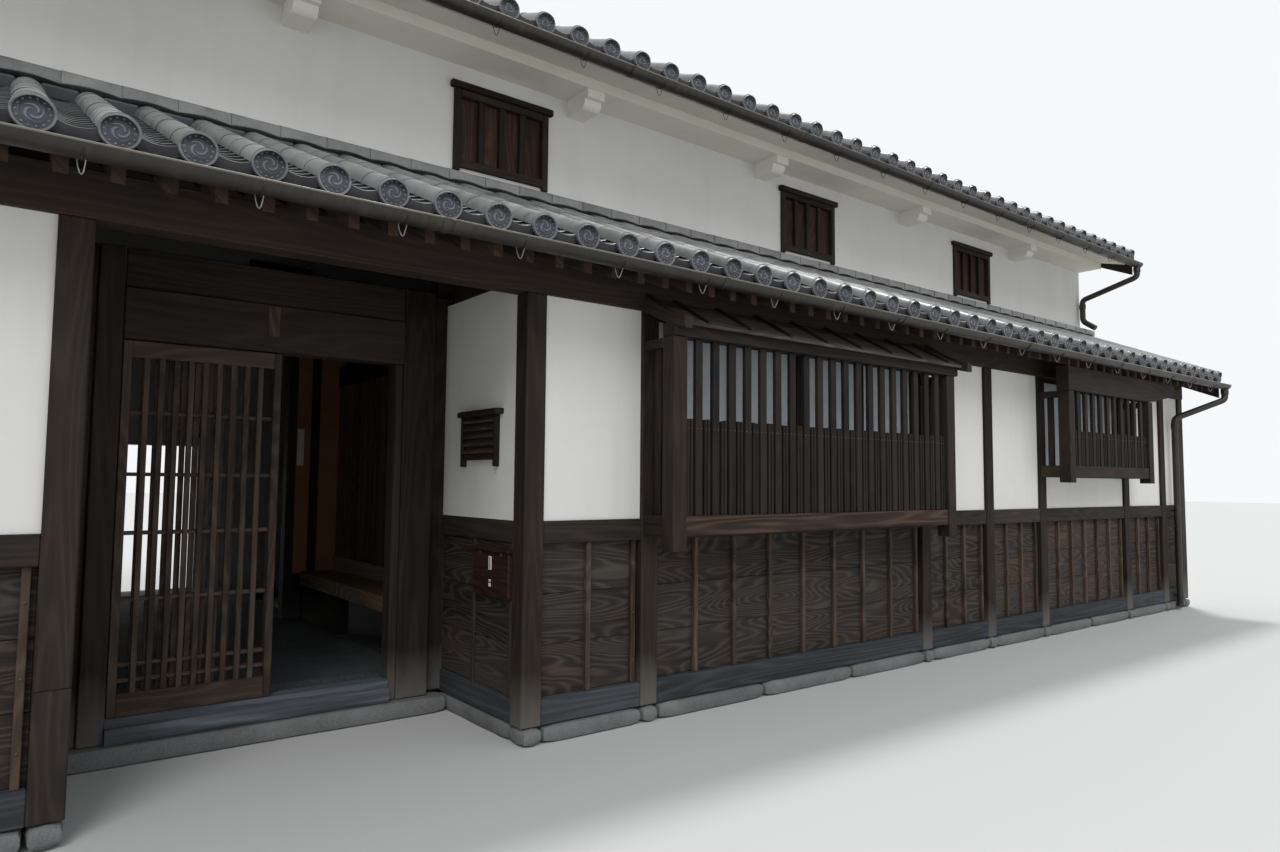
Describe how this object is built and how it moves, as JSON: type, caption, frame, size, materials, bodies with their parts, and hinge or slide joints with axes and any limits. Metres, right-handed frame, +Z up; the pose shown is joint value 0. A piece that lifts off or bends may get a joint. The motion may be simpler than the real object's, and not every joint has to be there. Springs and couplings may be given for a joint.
{
  "type": "machiya townhouse",
  "caption": "Timber and plaster townhouse with a tiled pent roof over a latticed street front, a recessed sliding door and a low upper storey.",
  "frame": {"origin": "on the ground under the middle of the whole roofed outline", "axes": "+Z up, +X to the right along the street front, the street side facing -Y"},
  "size_m": [13.974, 8.47, 6.6148],
  "materials": {
    "dark_timber": "satin",
    "weathered_timber": "matte",
    "weathered_board": "matte",
    "door_timber": "satin",
    "shutter_timber": "satin",
    "floor_timber": "satin",
    "box_timber": "satin",
    "white_plaster": "matte",
    "clay_wall": "matte",
    "plinth_stone": "matte",
    "earth_floor": "matte",
    "roof_tile": "satin",
    "gutter_metal": "satin",
    "screen_paper": "matte"
  },
  "bodies": {
    "house": {"bay_canopy": "dark_timber", "bay_lattice_bars": "dark_timber", "bay_lattice_frame": "dark_timber", "clay_partition": "clay_wall", "door_lintel": "dark_timber", "door_posts": "dark_timber", "door_threshold": "weathered_timber", "downpipes": "gutter_metal", "eave_brackets": "white_plaster", "eave_soffits": "white_plaster", "foundation_stones": "plinth_stone", "front_beam": "dark_timber", "front_plaster": "white_plaster", "front_posts": "dark_timber", "front_sills": "weathered_timber", "gutter_hooks": "gutter_metal", "gutters": "gutter_metal", "left_gable_wall": "white_plaster", "letter_box": "box_timber", "main_frame": "dark_timber", "main_ridge": "roof_tile", "main_roof_deck": "dark_timber", "main_tiles_front": "roof_tile", "main_tiles_rear": "roof_tile", "passage_floor": "earth_floor", "pent_deck": "dark_timber", "pent_flashing": "roof_tile", "pent_rafters": "dark_timber", "pent_tiles": "roof_tile", "plank_wall": "floor_timber", "porch_louvre": "dark_timber", "porch_plaster": "white_plaster", "porch_wainscot": "weathered_board", "raised_floor": "floor_timber", "rear_wall": "white_plaster", "right_gable_wall": "white_plaster", "screen_frames": "dark_timber", "screen_paper": "screen_paper", "small_lattice_bars": "dark_timber", "small_lattice_frame": "dark_timber", "upper_front_wall": "white_plaster", "upper_shutters": "shutter_timber", "upper_window_frames": "dark_timber", "wainscot_panels": "weathered_board", "wainscot_rails": "dark_timber"},
    "front_leaf": {"front_door_leaf": "door_timber"},
    "rear_leaf": {"rear_door_leaf": "door_timber"}
  },
  "joints": [
    {"name": "front_leaf_slide", "type": "slide", "parent": "house", "child": "front_leaf", "axis": [1, 0, 0], "range_m": [0, 0.678]},
    {"name": "rear_leaf_slide", "type": "slide", "parent": "house", "child": "rear_leaf", "axis": [1, 0, 0], "range_m": [0, 0.678]}
  ]
}
